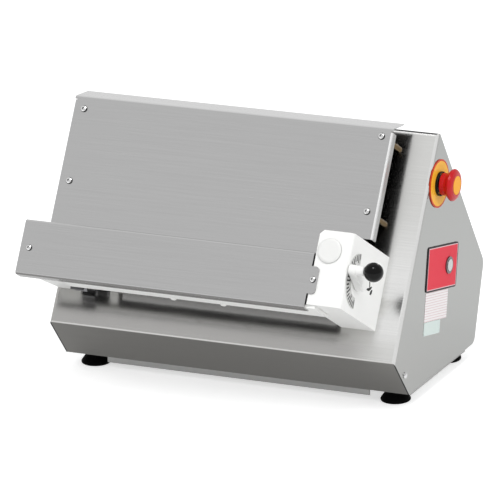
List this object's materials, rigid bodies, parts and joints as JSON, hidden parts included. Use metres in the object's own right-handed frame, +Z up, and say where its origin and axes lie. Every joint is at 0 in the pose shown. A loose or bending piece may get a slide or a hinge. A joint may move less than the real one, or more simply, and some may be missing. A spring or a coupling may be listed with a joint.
{
  "type": "dough sheeter",
  "caption": "Countertop dough sheeter with a sloped steel cabinet, powered rollers between white end blocks, a hand-feed chute and a gap lever on the side.",
  "frame": {"origin": "on the bench under the middle of the part", "axes": "X along the rollers toward the control side, Y from the front to the back, Z up"},
  "size_m": [0.4938, 0.372, 0.3407],
  "materials": {
    "steel_sheet": "fine brushed stainless sheet",
    "rear_sheet": "brushed stainless sheet",
    "zinc_sheet": "plain bright sheet",
    "screw_steel": "machined stainless",
    "black_rubber": "moulded matt rubber",
    "white_block": "machined white polyethylene",
    "white_plug": "moulded white plug",
    "yellow_zinc": "yellow passivated rod",
    "roller_steel": "ground stainless roller",
    "gear_steel": "machined gear steel",
    "bronze": "plain bearing bronze",
    "dial_plate": "printed aluminium scale",
    "lever_white": "machined white lever",
    "black_knob": "phenolic ball knob",
    "stop_yellow": "printed yellow disc",
    "black_plastic": "moulded black plastic",
    "stop_red": "moulded red head",
    "switch_red": "printed red plate",
    "button_silver": "turned push button",
    "label_white": "blank label",
    "motor_grey": "cast motor housing",
    "belt_black": "moulded belt",
    "box_grey": "moulded enclosure"
  },
  "bodies": {
    "frame": {"body_shell": "steel_sheet", "rear_cover": "rear_sheet", "cover_plate_screws": "screw_steel", "base_pan": "zinc_sheet", "pan_screws": "screw_steel", "rubber_feet": "black_rubber", "foot_bolts": "screw_steel", "left_plate": "white_block", "inner_plate": "white_block", "right_block": "white_block", "block_plug": "white_plug", "block_bolts": "screw_steel", "drive_guard": "steel_sheet", "front_cover": "steel_sheet", "cover_screws": "screw_steel", "guard_bar": "white_block", "guard_screws": "white_plug", "chute_panel": "steel_sheet", "chute_screws": "screw_steel", "standoffs": "yellow_zinc", "standoff_nuts": "screw_steel", "rear_scraper": "steel_sheet", "scraper_screws": "screw_steel", "scale_plate": "dial_plate", "stop_disc": "stop_yellow", "stop_collar": "black_plastic", "stop_barrel": "black_plastic", "switch_plate": "switch_red", "start_bezel": "button_silver", "label_plates": "label_white", "gearmotor": "motor_grey", "gearbox": "motor_grey", "motor_bracket": "zinc_sheet", "drive_belt": "belt_black", "control_box": "box_grey", "cable_gland": "black_plastic"},
    "rear_roll": {"rear_roller": "roller_steel", "rear_gear": "gear_steel", "roller_pulley": "gear_steel"},
    "motor_out": {"motor_pulley": "gear_steel"},
    "lever": {"lever_spindle": "gear_steel", "gap_lever": "lever_white"},
    "knob": {"clamp_knob": "black_knob"},
    "carrier": {"right_slide": "bronze", "left_slide": "bronze", "carrier_yoke": "zinc_sheet", "front_scraper": "steel_sheet"},
    "front_roll": {"front_roller": "roller_steel", "front_gear": "gear_steel"},
    "stop_stem": {"stop_plunger": "black_plastic"},
    "stop_button": {"stop_head": "stop_red", "stop_cap": "stop_yellow"},
    "start": {"start_button": "button_silver"}
  },
  "joints": [
    {"name": "rear_roller_spin", "type": "hinge", "parent": "frame", "child": "rear_roll", "pos_m": [-0.011, -0.09094, 0.14551], "axis": [1, 0, 0], "continuous": true},
    {"name": "motor_spin", "type": "hinge", "parent": "frame", "child": "motor_out", "pos_m": [-0.181, 0.06527, 0.105], "axis": [1, 0, 0], "continuous": true},
    {"name": "gap_lever_swing", "type": "hinge", "parent": "frame", "child": "lever", "pos_m": [0.1895, -0.13187, 0.18409], "axis": [-1, 0, 0], "range_deg": [-89, 61]},
    {"name": "gap_slide", "type": "slide", "parent": "frame", "child": "carrier", "axis": [0, -0.8554, 0.518], "range_m": [-0.00297, 0.00203]},
    {"name": "front_roller_spin", "type": "hinge", "parent": "carrier", "child": "front_roll", "pos_m": [-0.011, -0.13838, 0.17424], "axis": [1, 0, 0], "continuous": true},
    {"name": "knob_turn", "type": "hinge", "parent": "lever", "child": "knob", "pos_m": [0.199, -0.15343, 0.2058], "axis": [1, 0, 0], "range_deg": [-180, 0]},
    {"name": "stop_press", "type": "slide", "parent": "frame", "child": "stop_stem", "axis": [-1, 0, 0], "range_m": [0, 0.004], "stiffness_N_per_m": 1500},
    {"name": "stop_twist", "type": "hinge", "parent": "stop_stem", "child": "stop_button", "pos_m": [0.234, 0.04768, 0.2579], "axis": [-1, 0, 0], "range_deg": [0, 40], "stiffness_Nm_per_rad": 0.05},
    {"name": "start_press", "type": "slide", "parent": "frame", "child": "start", "axis": [-1, 0, 0], "range_m": [0, 0.0015], "stiffness_N_per_m": 1200}
  ],
  "couplings": [
    {"joint": "motor_spin", "follows": "rear_roller_spin", "ratio": 1.1111},
    {"joint": "front_roller_spin", "follows": "rear_roller_spin", "ratio": -1},
    {"joint": "gap_lever_swing", "follows": "gap_slide", "rad_per_m": 523.6}
  ]
}
